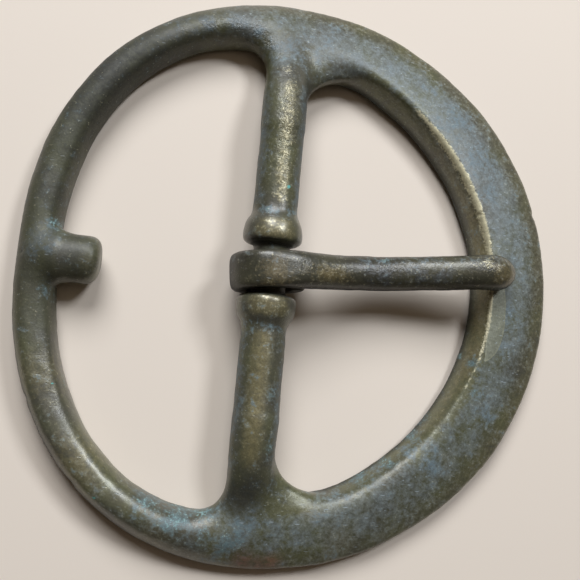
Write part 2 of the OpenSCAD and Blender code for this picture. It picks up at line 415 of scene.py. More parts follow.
def stud_surface(sizes, rows=70, around=72):
    """Stud as a grid: an oval carried along X that rises out of the ring as a quarter of an ellipse, narrows
    a little past its foot, and ends in a quarter circle whose lower side slants a little."""
    start, end = CASTING_LOW[0] + 0.4, CASTING_LOW[0] + sizes.stud_reach * MM
    radius, rounding = sizes.stud_diameter * MM / 2, sizes.stud_rounding * MM
    x = start + (end - start) * np.sin(np.linspace(0.02, math.pi / 2, rows)) ** 2
    rise = np.sqrt(1 - np.clip((start + STUD_RISE - x) / STUD_RISE, 0, 0.999) ** 2)
    foot = STUD_SWELL * (1 - step_up(x, start + STUD_RISE, start + STUD_RISE + 2.0))
    into = np.clip(x - end + rounding, 0, rounding)
    r = ((radius + foot) * rise - rounding + np.sqrt(rounding**2 - into**2))[:, None]
    turn = np.linspace(0, 2 * math.pi, around, endpoint=False)[None]
    y = STUD[1] + r * np.cos(turn) * sizes.stud_width / sizes.stud_diameter
    z = STUD[2] + r * np.sin(turn)
    slant = -STUD_SLANT * step_up(STUD[1] - y, 0.2, 2.6) * step_up(x, end - 2.5, end)[:, None]
    return np.stack([x[:, None] + slant, y, z], axis=-1)


def casting_parts(sizes):
    """The closed grids that overlap to make the casting."""
    bar = 2 * BAR[-1, 1]
    fillets = (sizes.fillet * MM, sizes.wide_fillet * MM)
    parts = [
        grid_mesh(ring_surface(sizes), loops=True),
        grid_mesh(bar_surface()),
        grid_mesh(stud_surface(sizes)),
    ]
    for mirror in (1, -1):
        parts.append(grid_mesh(bar_end_surface(BAR_END, bar + END_EXTRA, END_SQUARE, NO_FILLETS, mirror)))
        parts.append(grid_mesh(bar_end_surface(WEB, bar + WEB_EXTRA, WEB_SQUARE, fillets, mirror)))
    return parts


def placed(name, data):
    """New object with this data, in the scene."""
    thing = bpy.data.objects.new(name, data)
    bpy.context.scene.collection.objects.link(thing)
    return thing


def remeshed(vertices, faces, voxel):
    """Vertices and quads of one even skin round the overlapping parts, from a voxel remesh."""
    mesh = bpy.data.meshes.new("rough")
    mesh.from_pydata(vertices.tolist(), [], faces)
    rough = placed("rough", mesh)
    remesh = rough.modifiers.new("skin", "REMESH")
    remesh.mode = "VOXEL"
    remesh.voxel_size = voxel
    skin = bpy.data.meshes.new_from_object(rough.evaluated_get(bpy.context.evaluated_depsgraph_get()))
    points = np.empty(len(skin.vertices) * 3)
    skin.vertices.foreach_get("co", points)
    corners = np.empty(len(skin.loops), np.int32)
    skin.loops.foreach_get("vertex_index", corners)
    bpy.data.objects.remove(rough)
    bpy.data.meshes.remove(mesh)
    bpy.data.meshes.remove(skin)
    return points.reshape(-1, 3), corners.reshape(-1, 4)


def write_piece(name, points, faces, masks, material, body, node):
    """Makes the finished mesh from points in millimetres, with its masks as attributes, gives it its material
    and body, and hides the imported part of its node."""
    mesh = bpy.data.meshes.new(name)
    mesh.from_pydata((points / MM).tolist(), [], faces if isinstance(faces, list) else faces.tolist())
    mesh.polygons.foreach_set("use_smooth", np.ones(len(mesh.polygons), bool))
    for mask, values in masks.items():
        mesh.attributes.new(mask, "FLOAT", "POINT").data.foreach_set("value", values.astype(np.float32))
    mesh.materials.append(material)
    mesh.update()
    piece = placed(name, mesh)
    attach(piece, body)
    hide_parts(node)


def dented(points, normals, table):
    """Points moved in along their normals at small marks on the upper side. Columns of the table: x, y,
    radius, depth, and height of a raised rim round it."""
    upper = step_up(normals[:, 2], -0.1, 0.2)
    for x, y, radius, depth, rim in table:
        distance = np.hypot(points[:, 0] - x, points[:, 1] - y)
        move = -depth * bell(distance, radius) + rim * bell(distance - 1.5 * radius, radius / 2)
        points = points + (move * upper)[:, None] * normals
    return points


# Marks in the casting. Columns: x, y, radius, depth, rim
DENTS = [
    (30.9, 11.5, 0.45, 0.22, 0.0),
    (22.5, 10.1, 0.28, 0.20, 0.07),
    (-4.25, -17.8, 0.40, 0.03, 0.03),
    (-23.6, -26.6, 0.60, 0.16, 0.0),
    (-29.6, -17.4, 0.50, 0.14, 0.0),
    (-31.8, -0.9, 0.35, 0.14, 0.0),
    (-4.6, 21.3, 0.30, 0.08, 0.02),
    (-2.0, 20.9, 0.30, 0.10, 0.03),
    (3.8, 31.5, 0.40, 0.05, 0.0),
    (10.5, 29.6, 0.35, 0.06, 0.0),
    (-5.4, -21.5, 0.35, 0.06, 0.0),
]

# Patches of deposit, wear, stain and soot on the upper side, and of painted shade, painted glints and painted
# reflection. Columns: x, y, radius, strength
PATCHES = {
    "verdigris": [
        (-14.6, -28.0, 1.8, 0.8), (-11.2, -29.4, 2.2, 0.9), (-8.2, -28.4, 1.6, 0.9),
        (-4.5, -31.9, 2.8, 0.6), (13.4, -21.4, 1.0, 0.9), (10.5, -23.2, 1.2, 0.7), (15.9, -17.6, 1.2, 0.9),
        (17.4, -15.0, 1.2, 0.9), (23.0, -8.5, 0.6, 1.0), (22.0, -7.6, 0.4, 1.0), (23.2, -12.0, 0.7, 0.7),
        (-28.6, 2.9, 1.0, 0.8), (-27.7, 2.3, 0.8, 0.6), (-28.4, -4.9, 0.9, 0.6), (-7.6, -30.6, 1.6, 0.7),
        (-1.6, -20.5, 1.2, 0.6), (-1.4, -15.0, 1.0, 0.4), (4.6, -24.9, 1.6, 0.5),
    ],
    "dots": [
        (-2.1, 9.7, 0.30, 1.0), (-26.4, -15.5, 0.20, 0.9), (-24.4, -18.6, 0.18, 0.6),
        (-20.3, -27.7, 0.30, 0.8), (-2.7, 27.6, 0.4, 0.5), (19.6, -22.4, 0.4, 0.5), (22.9, -7.8, 0.25, 0.6),
        (23.9, -8.6, 0.30, 0.6),
    ],
    # Grey-blue bloom, partly a painted sky reflection on the upward flats
    "haze_and_painted_reflection": [
        (17.0, 25.0, 6.0, 0.9), (22.6, 16.5, 5.0, 0.95), (5.0, 31.0, 6.5, 0.8), (28.5, 0.0, 2.2, 0.9),
        (27.6, -5.6, 2.4, 0.9), (24.6, -14.0, 2.4, 0.6), (18.4, -21.0, 2.6, 0.6), (12.5, -24.5, 2.6, 0.5),
        (-3.5, -30.4, 4.0, 0.8), (-12.0, 31.0, 4.0, 0.5), (-4.0, 27.5, 3.5, 0.7), (-29.8, 0.4, 1.6, 0.8),
        (24.8, 9.0, 2.4, 0.8), (-28.0, 1.8, 1.4, 0.6), (6.5, -27.0, 3.5, 0.5), (11.6, -29.9, 4.5, 0.8),
        (-9.5, 30.4, 2.6, 0.9),
    ],
    "blue": [
        (19.6, 22.0, 2.6, 0.8), (22.4, 17.5, 2.4, 1.0), (23.6, 13.0, 1.8, 0.8), (16.0, 25.6, 2.0, 0.6),
        (27.2, -2.5, 1.8, 0.9), (27.0, -7.0, 1.8, 0.7), (18.5, -21.1, 1.7, 0.9), (25.0, -15.2, 1.3, 0.9),
        (24.0, -12.3, 1.0, 0.8), (15.6, -19.6, 1.3, 0.9), (12.6, -21.9, 1.2, 0.7), (-3.0, -30.0, 2.5, 0.7),
        (-2.0, 28.5, 3.0, 0.6), (2.0, 31.0, 2.4, 0.6), (-29.4, -0.4, 1.3, 0.8), (-28.2, -4.2, 1.2, 0.7),
        (8.3, -24.6, 1.5, 0.6),
    ],
    "golden": [
        (-22.6, -24.0, 4.0, 0.7), (-27.5, -14.5, 4.0, 0.5), (-13.0, -31.4, 2.4, 0.5),
        (-31.4, -6.0, 4.0, 0.35), (-24.2, -1.4, 1.2, 0.5), (31.5, -8.0, 4.0, 0.5), (31.0, 8.0, 3.4, 0.4),
        (4.4, -27.8, 1.8, 0.6), (10.4, -26.8, 1.6, 0.5), (20.4, -20.4, 1.6, 0.5), (-7.0, 33.4, 4.0, 0.4),
        (8.0, -30.2, 3.2, 0.65),
    ],
    "stain": [
        (-2.9, -33.9, 1.3, 1.0), (0.4, -33.8, 1.1, 1.0), (-1.0, -34.3, 1.3, 0.8),
    ],
    "worn": [
        (-3.4, 24.4, 0.8, 0.6), (-2.0, 21.5, 0.6, 0.5),
    ],
    # Painted glints: blue-white highlights painted along the ridge by the top of the bar, where the metal is
    # also made granular
    "grain_and_painted_glint": [
        (-16.2, 28.6, 1.0, 0.5), (-13.0, 29.7, 1.3, 0.9), (-10.1, 30.1, 1.4, 1.0), (-7.4, 29.4, 1.2, 1.0),
        (-5.8, 28.2, 1.0, 0.9), (-5.0, 26.6, 0.8, 0.7),
    ],
    # Soot, and painted shade: some of these darken the stud and a bright spot where the bar meets the ring at
    # the top
    "soot_and_painted_shade": [
        (-3.4, -25.6, 2.6, 0.9), (-28.3, -4.0, 0.9, 0.7), (-31.6, 1.4, 0.7, 0.7), (-14.5, 26.2, 2.2, 0.8),
        (-8.8, 26.8, 1.8, 0.9), (-3.4, 24.0, 1.4, 0.3), (-25.4, -0.9, 2.6, 0.7), (-4.0, 29.2, 1.8, 0.35),
    ],
}

# Copper salts on the tongue. The columns are those of the patches
TONGUE_VERDIGRIS = [(10.6, 2.7, 0.9, 0.8), (9.0, 2.6, 0.6, 0.6), (14.0, 3.2, 0.6, 0.5)]

# How far the wear along the crescent's crest reaches. Columns: angle from +X in degrees, reach
CREST_WEAR = [
    (-62, -1.0), (-40, -0.2), (-24, 0.0), (-12, 0.15), (6, 0.25),
    (16, 0.35), (30, 0.4), (46, 0.4), (58, 0.2), (70, -1.0),
]


def patches(points, normals, table):
    """Strength of a table of patches at each point: bells in plan, on the upper side only."""
    total = np.zeros(len(points))
    for x, y, radius, strength in table:
        total = np.maximum(total, strength * bell(np.hypot(points[:, 0] - x, points[:, 1] - y), radius))
    return total * step_up(normals[:, 2], -0.5, 0.0)


def convexity(points, normals, pairs, rounds):
    """How far each point stands out from the evened surface, in millimetres: above 0 on ridges."""
    return ((points - evened(points, pairs, rounds)) * normals).sum(axis=1)


def facet_depth(points):
    """How far each point lies inside the outline of the worn facet, in millimetres: a squared ellipse in
    plan, 1 less the distance from its middle in half axes, divided by how fast that distance grows."""
    across, along = (np.abs(points[:, k] - FACET_MIDDLE[k]) / FACET_AXES[k] + 0.001 for k in (0, 1))
    share = (across**FACET_POWER + along**FACET_POWER) ** (1 / FACET_POWER)
    slopes = (side ** (FACET_POWER - 1) / axis for side, axis in zip((across, along), FACET_AXES))
    return (1 - share) / (share ** (1 - FACET_POWER) * np.hypot(*slopes))


def ring_place(points):
    """Each point's angle from +X in degrees, its distance from the ring's inner edge, and the ring's width
    and share of crescent there."""
    angle = np.degrees(np.arctan2(points[:, 1], points[:, 0]))
    outer, width, share = curve_through(np.abs(angle), RING).T
    return angle, np.hypot(points[:, 0], points[:, 1]) - outer + width, width, share


def casting_masks(points, normals, pairs, sizes):
    """Masks of the casting's finish: wear on its ridges, grime in its hollows with painted shade where the
    piece lies in shade, bloom with a painted sky reflection, painted glints on a ridge and the charted
    patches.
    The crest and the facet are 1 at their edge and fall or rise by 1 a millimetre."""
    x, y, z = points.T
    up = normals[:, 2]
    sharp = convexity(points, normals, pairs, 12)
    broad = convexity(points, normals, pairs, 90)
    chart = {name: patches(points, normals, table) for name, table in PATCHES.items()}
    angle, inside, width, share = ring_place(points)
    across = inside / width
    on_ring = step_up(inside, -0.8, 0.2)
    crescent = share * on_ring
    from_crest = inside - sizes.crest_width * MM
    facet = np.minimum(facet_depth(points), from_crest - 0.1 - 0.7 * step_up(-y, 4.5, 9.0))
    off_axis = x - PIVOT[0]
    along = np.abs(y)
    bar = between(along, 6.6, 8.2, 21.0, 24.5) * bell(off_axis, 6.0)
    upper_crown = bell(off_axis - 0.3, 1.0) * step_up(z, 6.2, 7.2) * between(y, 7.0, 8.5, 22.0, 24.5)
    collars = step_up(z, 7.0, 8.3) * between(along, 3.2, 3.5, 5.2, 6.2)
    flank = bar * step_up(np.abs(off_axis), 1.2, 2.4)
    neck = bell(along - 6.8, 0.7) * step_up(z, 4.0, 6.5) * bell(off_axis, 4.0)
    # Painted shadow: the collars' end faces and the pivot between them, in the shade of the tongue's loop
    painted_shade_end_faces = (1 - step_up(along, 3.05, 3.3)) * bell(off_axis, 4.0)
    bevel = crescent * (1 - step_up(inside, 1.3, 1.7)) * step_up(z, 1.6, 2.8) * bell(angle - 5, 50)
    rim_side = crescent * step_up(across, 0.56, 0.9) * (0.7 + 0.3 * step_up(angle, -60, -35))
    # Bloom on the crescent's upward flats, partly real and partly a painted sky reflection, stronger towards
    # the upper right
    haze_and_painted_reflection = crescent * step_up(across, 0.15, 0.3) * (0.62 + 0.18 * step_up(angle, -30, 20))
    haze_and_painted_reflection = np.maximum(haze_and_painted_reflection, chart["haze_and_painted_reflection"]) * (1 - 0.8 * rim_side)
    # Painted shade: the ring's outer side darkened where it faces down towards the floor
    painted_shade_below = on_ring * (1 - step_up(up, 0.1, 0.65)) * step_up(across, 0.6, 0.9)
    collar_tops = between(along, 3.2, 3.4, 5.2, 6.0) * bell(off_axis, 5.0) * step_up(z, 5.5, 7.0)
    round_half = (1 - share) * on_ring
    # Painted shade: the round half darkened on its upper left and its left, and its sheen taken down there
    painted_shade_upper_left = round_half * np.maximum(bell(angle - 134, 36), 0.6 * step_up(np.abs(angle), 150, 170))
    parting = round_half * bell(z - 0.95, 0.3) * step_up(-across, -0.5, 0.0) * bell(np.abs(angle) - 150, 60)
    crest = np.clip(1 + np.interp(angle, *np.transpose(CREST_WEAR)) - np.abs(from_crest), 0, 2)
    return {
        "crest": crest * step_up(z, 2.5, 3.2),
        "facet": np.clip(1 + facet, 0, 3) * step_up(z, 3.0, 3.4),
        "worn": highest(0.6 * upper_crown, 0.3 * collars, chart["worn"]),
        "grainy": highest(upper_crown * step_up(y, 9.0, 20.0), chart["worn"], chart["grain_and_painted_glint"]),
        "haze_and_painted_reflection": np.maximum(haze_and_painted_reflection * step_up(up, 0.2, 0.7), flank * (0.5 + 0.25 * step_up(y, 0, 1))),
        # Blue patina, with painted blue-white glints along the granular ridge
        "blue": highest(chart["blue"], 0.55 * flank, 0.6 * neck, 0.8 * chart["grain_and_painted_glint"]),
        "golden": highest(
            chart["golden"], 0.5 * rim_side, 0.85 * collars, 0.9 * bevel, 0.7 * upper_crown,
            bar * bell(off_axis + 0.4, 1.3) * step_up(-y, 0, 1) * step_up(z, 6, 7),
        ),
        "verdigris": np.maximum(chart["verdigris"], 0.4 * neck),
        "dots": chart["dots"],
        # Grime in the hollows and charted soot, darker on the bar's flanks and low on the crescent's sides,
        # with painted shade on the round half's upper left and left, on the ring's downward outer side, at
        # the collars' end faces and over a few bright spots
        "grime_and_painted_shade": (1 - collar_tops) * highest(
            step_up(-broad, 0.03, 0.2), step_up(-sharp, 0.015, 0.06), painted_shade_upper_left, 0.4 * flank, 0.4 * painted_shade_end_faces,
            chart["soot_and_painted_shade"], crescent * (1 - step_up(z, 1.0, 2.2)), painted_shade_below,
        ),
        "polished": np.maximum(1.2 * round_half * bell(angle + 127, 18) * step_up(up, 0.3, 0.8), collars),
        "parting": parting,
        "stain": chart["stain"],
    }


def filled_corners(points, quads, pairs):
    """Points with the corners filled where the bar and the stud run into the ring: each moves along its
    normal towards the evened surface, all the way outwards and less inwards, round after round."""
    x, y, z = points.T
    junction = bell(np.abs(y) - 27.0, 4.4) * bell(x - PIVOT[0], 8.0) * step_up(z, 0.9, 2.4)
    junction *= 1 - step_up(np.hypot(x, y), 31.5, 34.0)
    stud_foot = 0.5 * bell(x - CASTING_LOW[0] - 4.0, 2.0) * bell(y - STUD[1], 4.6) * step_up(z, 1.5, 2.5)
    weights = np.clip(np.maximum(junction * 1.6, stud_foot), 0, 1)[:, None]
    for _ in range(12):
        normals = vertex_normals(points, quads)
        shift = ((evened(points, pairs, 22, 0.5, weights) - points) * normals).sum(axis=1, keepdims=True)
        points = points + np.where(shift > 0, shift, 0.3 * shift) * normals
    return points


def rubbed_crowns(points, pairs, sizes):
    """Points with the round half's crown and the lower crest rubbed softer, by evening them. The crown at the
    lower left then falls by the square of its height over 3.6 mm, most on its inner side."""
    angle, inside, width, share = ring_place(points)
    height = points[:, 2]
    lower = between(-angle, 20, 45, 92, 105) * step_up(height, 2.0, 3.5)
    crown = (1 - share) * bell(inside - width / 2, 1.4) * step_up(height, 3.6, 4.4)
    worn = np.maximum(lower * bell(inside - sizes.crest_width * MM, 1.1), np.clip(crown, 0, 1))
    points = evened(points, pairs, 90, 0.5, worn[:, None])
    rubbed = (1 - share) * step_up(inside, -0.8, 0.2) * np.clip(points[:, 2] - 3.6, 0, None) ** 2
    rubbed *= between(-angle, 98, 125, 160, 178)
    points[:, 2] += rubbed * (0.11 * (inside - width / 2) - 0.1)
    return points


def casting_surface(sizes):
    """Points, quads and masks of the casting: the overlapping grids in one even skin, its corners filled
    and its crowns rubbed, then made a little uneven, marked by use and cut by the worn facet."""
    points, quads = remeshed(*joined(casting_parts(sizes)), sizes.grain * MM)
    pairs = neighbour_pairs(quads)
    for step in (0.5, -0.53) * 4:
        points = evened(points, pairs, 1, step)
    points = filled_corners(points, quads, pairs)
    points = rubbed_crowns(points, pairs, sizes)
    points = evened(points, pairs, 4)
    normals = vertex_normals(points, quads)
    calm = step_up(points[:, 2], 0.15, 0.6) * step_up(np.abs(points[:, 1]), 3.2, 3.8)
    points = dented(roughened(points, normals, CASTING_WAVES, calm), normals, DENTS)
    plane = (sizes.crest_height - sizes.wear_depth) * MM - FACET_SLOPE * (points[:, 0] - FACET_START)
    cut = (facet_depth(points) > 0) & (points[:, 2] > plane)
    points[:, 2] = np.where(cut, plane, points[:, 2])
    points = np.clip(points, CASTING_LOW, CASTING_HIGH)
    normals = vertex_normals(points, quads)
    return points, quads, casting_masks(points, normals, pairs, sizes)


def tongue_surface(sizes, around=72):
    """Tongue as a grid: a squared oval carried along the strip's middle line, which starts under the arm,
    goes round the pivot by the underside and the left, and runs on over the crown as the arm."""
    turn = np.linspace(STRIP_START, -1.5 * math.pi, 170)
    loop = sizes.loop_diameter * MM / 2
    thick = loop - sizes.bore_diameter * MM / 2
    middle = loop - thick / 2
    length = sizes.tongue_length * MM
    # Sections stand closer together towards the tip
    s = length * (1 - np.linspace(1, 0, 330)[1:] ** 1.35)
    z, height, width, square = curve_through(s, ARM).T
    tip = ARM[-3, 0]
    into = np.clip((s - tip) / (length - tip), 0, 1)
    shrink = np.sqrt(1 - into**TIP_POWER)
    z = z - TIP_DROP * into**2
    centre = np.vstack([
        np.stack([middle * np.cos(turn), PIVOT[2] + middle * np.sin(turn)], axis=-1),
        np.stack([s, z], axis=-1),
    ])
    normal = np.vstack([
        np.stack([np.cos(turn), np.sin(turn)], axis=-1),
        np.broadcast_to([0.0, 1.0], (len(s), 2)),
    ])
    from_end = np.clip(np.arange(len(turn)) / STRIP_ROUNDED, 0, 1)
    round_end = mix(STRIP_BLUNTNESS, 1, np.sqrt(1 - (1 - from_end) ** 2))
    height = np.concatenate([thick * round_end, height * shrink])[:, None]
    width = np.concatenate([sizes.loop_width * MM * round_end, width * shrink])[:, None]
    square = np.concatenate([np.full(len(turn), ARM[0, 4]), square])[:, None]
    v = np.linspace(0, 2 * math.pi, around, endpoint=False)[None]
    side = width / 2 * signed_power(np.cos(v), 2 / square)
    out = height / 2 * signed_power(np.sin(v), 2 / square)
    along = centre[:, None, 0] + out * normal[:, None, 0]
    up = centre[:, None, 1] + out * normal[:, None, 1]
    yaw = sizes.tongue_lean
    x = PIVOT[0] + along * math.cos(yaw) - side * math.sin(yaw)
    y = -sizes.loop_drop * MM + along * math.sin(yaw) + side * math.cos(yaw)
    return np.stack([x, y, up], axis=-1)


def tongue_masks(points, normals, pairs):
    """Masks of the tongue's finish: wear on the tip, gold near the loop, painted shade on its sides and
    underside, a painted highlight along the arm's top, deposits.
    """
    x, y, z = points.T
    up = normals[:, 2]
    sharp = convexity(points, normals, pairs, 20)
    edges = step_up(sharp, 0.02, 0.06) * step_up(z, 5, 7)
    tip = bell(np.hypot(x - 22.6, y - 3.1), 0.9) * step_up(up, 0.2, 0.8)
    shoulder = bell(np.hypot((x - 3.6) / 2.6, y + 0.1), 1.1) * step_up(up, 0.3, 0.8)
    top = step_up(up, 0.6, 0.95)
    loop_side = bell(np.hypot(x + 3.0, y + 1.2), 2.6)
    past_tip = bell(np.hypot(x - 24.6, y - 2.4), 2.0)
    return {
        "worn": 0.5 * tip + 0.2 * shoulder + 0.3 * edges,
        "grainy": 0.6 * tip + 0.25 * shoulder + 0.4 * bell(x - 13, 6) * top,
        # Painted highlight: pale bloom along the arm's top where the window's highlight falls
        "haze_and_painted_reflection": 0.25 * step_up(up, 0.5, 0.9) * between(x, 7.0, 10.0, 18.0, 21.0),
        "blue": 0.6 * step_up(up, 0.3, 0.8) * step_up(y - 0.105 * x, 0.2, 1.4) * step_up(x, 5.0, 9.0),
        "golden": highest(0.8 * shoulder, 0.5 * loop_side, 0.6 * past_tip),
        "verdigris": patches(points, normals, TONGUE_VERDIGRIS),
        # Painted shade: the tongue darkened wherever it faces sideways or down
        "grime_and_painted_shade": 0.95 - 0.95 * step_up(up, 0.0, 0.75),
        "polished": 0.8 * bell(x - 15, 5.5) * top,
    }


def add(tree, kind, inputs=None, **settings):
    """Adds a node with its settings. An input that is given a socket is linked, and any other is set."""
    new = tree.nodes.new(kind)
    for name, value in settings.items():
        setattr(new, name, value)
    for key, value in (inputs or {}).items():
        if isinstance(value, bpy.types.NodeSocket):
            tree.links.new(value, new.inputs[key])
        else:
            new.inputs[key].default_value = value
    return new


def empty_tree(owner):
    """The node tree of a material or a world, with nothing in it."""
    owner.use_nodes = True
    owner.node_tree.nodes.clear()
    return owner.node_tree


# Masks that the meshes carry
MASKS = (
    "crest", "facet", "worn", "grainy", "haze_and_painted_reflection", "blue", "golden", "verdigris", "dots", "grime_and_painted_shade", "polished",
    "parting", "stain",
)

# Mottling of the tarnish, from broad clouds to the grain of the casting sand. The grain is about 0.1 mm wide,
# too fine to show, so it is drawn at 0.24 mm. Columns: name, size in millimetres, detail, roughness
NOISES = [
    ("cloud", 8.0, 3.0, 0.55),
    ("mottle", 2.2, 5.0, 0.7),
    ("fleck", 0.6, 4.0, 0.7),
    ("grain", 0.24, 2.0, 0.6),
]

# Specks: round ones and short scratches in two directions. Columns: width in millimetres, stretch, turn
SPECKS = [
    (0.7, 1.0, 0.0),
    (0.5, 0.22, 0.6),
    (0.5, 0.2, -1.1),
]

# Layers of the tarnish from the lowest up, each with the factors whose product is its amount. A factor brings
# strength x mask + pattern from one range to another, and stays within it. An empty name counts as 0.
# Columns: mask, strength, pattern, the two ends of the range, the two ends of the new range
LAYERS = {
    "umber": [("", 0, "fleck", 0.35, 0.65, 0, 1)],
    "olive": [("", 0, "cloud", 0.40, 0.60, 0, 1)],
    "dark": [("", 0, "mottle", 0.50, 0.62, 0, 0.5)],
    "golden": [("golden", 0.28, "coarse", 0.55, 0.80, 0, 1)],
    # Bloom, partly a painted sky reflection
    "bloom_and_painted_reflection": [("haze_and_painted_reflection", 0.26, "coarse", 0.53, 0.79, 0, 1)],
    # Blue patina, with painted glints along a ridge
    "blue": [("blue", 0.19, "coarse", 0.58, 0.74, 0, 1)],
    # Grime, and painted shade where the piece lies in shade
    "dirt_and_painted_shade": [("grime_and_painted_shade", 1, "", 0, 1, 0, 1), ("", 0, "fleck", 0.30, 0.60, 0.6, 1)],
    "film": [("verdigris", 0.22, "coarse", 0.57, 0.73, 0, 1)],
    "salts": [("verdigris", 0.20, "fine", 0.68, 0.76, 0, 1)],
    "face": [("facet", 1, "", 1.00, 1.08, 0, 0.85)],
    "edge": [("facet", 1, "", 0.94, 1.00, 0, 1), ("facet", 1, "", 1.14, 1.06, 0, 1)],
    "speck": [("", 0, "specks", 0, 1, 0, 1), ("haze_and_painted_reflection", 1, "", 0, 0.6, 0.12, 0.6)],
    "crust": [("parting", 0.30, "fine", 0.72, 0.82, 0, 1)],
    "bare": [("worn", 0.25, "fine", 0.60, 0.80, 0, 1)],
    "ridge": [("crest", 1, "fine", 1.40, 1.62, 0, 1)],
    "turquoise": [("dots", 0.80, "fleck", 0.90, 1.10, 0, 1)],
    "rust": [("stain", 1, "", 0, 1, 0, 1), ("", 0, "fleck", 0.35, 0.60, 0.2, 0.8)],
}

# Factors of a speck, of the tone, of the relief, and of the white sheen that handling has left where there is
# neither bloom nor grime nor painted shade
SPECK = [("", 0, "distance", 0.17, 0.10, 0, 1), ("", 0, "chance", 0.62, 0.72, 0, 1)]
TONE = [("", 0, "fine", 0.35, 0.65, 0.78, 1.22)]
RELIEF = [
    ("grain", 0.4, "fleck", 0, 2, 0, 2), ("grainy", 1, "", 0, 1, 1, 6), ("polished", 1, "", 0, 1, 1, 0.4),
]
SHEEN = [("haze_and_painted_reflection", 1, "", 0, 0.5, 0.5, 0), ("grime_and_painted_shade", 1, "", 0, 0.8, 1, 0.1)]

# Sheens of rubbed metal, which count where they are higher
RUBBED_SHEENS = [[("grainy", 0.8, "", 0, 1, 0, 1)], [("polished", 0.8, "", 0, 1, 0, 1)]]

# Height of the relief in millimetres, and depth of a speck as a share of it
RELIEF_HEIGHT = 0.045
SPECK_DEPTH = 0.4


def product(tree, signal, factors):
    """Nodes that work out the product of some factors, whose columns are those of LAYERS."""
    amount = 1.0
    for mask, strength, pattern, low, high, new_low, new_high in factors:
        value = add(tree, "ShaderNodeMath", {
            0: signal[mask], 1: strength, 2: signal[pattern],
        }, operation="MULTIPLY_ADD").outputs[0]
        factor = add(tree, "ShaderNodeMapRange", {
            "Value": value, "From Min": low, "From Max": high, "To Min": new_low, "To Max": new_high,
        }).outputs["Result"]
        amount = add(tree, "ShaderNodeMath", {0: amount, 1: factor}, operation="MULTIPLY").outputs[0]
    return amount


def brass_material(name, finish):
    """Brass under an old tarnish: a thin brown and olive oxide with a soft sheen, grey-blue bloom on the
    flats that is partly a painted sky reflection, pale bare metal where it is rubbed, chalky blue-green
    copper salts in the corners, painted blue-white glints along a ridge, and dark grime that also paints
    shade where the piece lies in shade."""
    material = bpy.data.materials.new(name)
    tree = empty_tree(material)
    at = add(tree, "ShaderNodeTexCoord").outputs["Object"]
    signal = {"": 0.0, "specks": 0.0}
    for key in MASKS:
        signal[key] = add(tree, "ShaderNodeAttribute", attribute_name=key).outputs["Fac"]
    for key, size, detail, roughness in NOISES:
        signal[key] = add(tree, "ShaderNodeTexNoise", {
            "Vector": at, "Scale": per_metre(size), "Detail": detail, "Roughness": roughness,
        }).outputs["Fac"]
    for key, one, other in (("fine", "fleck", "grain"), ("coarse", "mottle", "fleck")):
        signal[key] = add(tree, "ShaderNodeMix", {0: 0.5, 2: signal[one], 3: signal[other]}).outputs[0]
    for width, stretch, turn in SPECKS:
        drawn = add(tree, "ShaderNodeMapping", {
            "Vector": at, "Rotation": (0, 0, turn), "Scale": (stretch, 1, 1),
        }).outputs["Vector"]
        cells = add(tree, "ShaderNodeTexVoronoi", {"Vector": drawn, "Scale": per_metre(width)})
        signal["distance"], signal["chance"] = cells.outputs["Distance"], cells.outputs["Color"]
        signal["specks"] = add(tree, "ShaderNodeMath", {
            0: signal["specks"], 1: product(tree, signal, SPECK),
        }, operation="MAXIMUM").outputs[0]
    shade, metallic, roughness = finish["brown"]
    colour = linear(shade)
    for key, factors in LAYERS.items():
        amount = product(tree, signal, factors)
        shade, metal, rough = finish[key]
        colour = add(tree, "ShaderNodeMix", {
            0: amount, 6: colour, 7: linear(shade),
        }, data_type="RGBA").outputs[2]
        metallic = add(tree, "ShaderNodeMix", {0: amount, 2: metallic, 3: metal}).outputs[0]
        roughness = add(tree, "ShaderNodeMix", {0: amount, 2: roughness, 3: rough}).outputs[0]
    colour = add(tree, "ShaderNodeMix", {
        0: 1.0, 6: colour, 7: product(tree, signal, TONE),
    }, data_type="RGBA", blend_type="MULTIPLY").outputs[2]
    height = add(tree, "ShaderNodeMath", {
        0: signal["specks"], 1: -SPECK_DEPTH, 2: product(tree, signal, RELIEF),
    }, operation="MULTIPLY_ADD").outputs[0]
    bump = add(tree, "ShaderNodeBump", {
        "Height": height, "Distance": RELIEF_HEIGHT / MM, "Strength": 0.8,
    }).outputs["Normal"]
    sheen = product(tree, signal, SHEEN)
    for factors in RUBBED_SHEENS:
        sheen = add(tree, "ShaderNodeMath", {
            0: sheen, 1: product(tree, signal, factors),
        }, operation="MAXIMUM").outputs[0]
    shader = add(tree, "ShaderNodeBsdfPrincipled", {
        "Base Color": colour, "Metallic": metallic, "Roughness": roughness, "Normal": bump,
        "Coat Weight": sheen, "Coat Roughness": 0.3, "Coat Normal": bump,
    })
    add(tree, "ShaderNodeOutputMaterial", {"Surface": shader.outputs["BSDF"]})
    return material


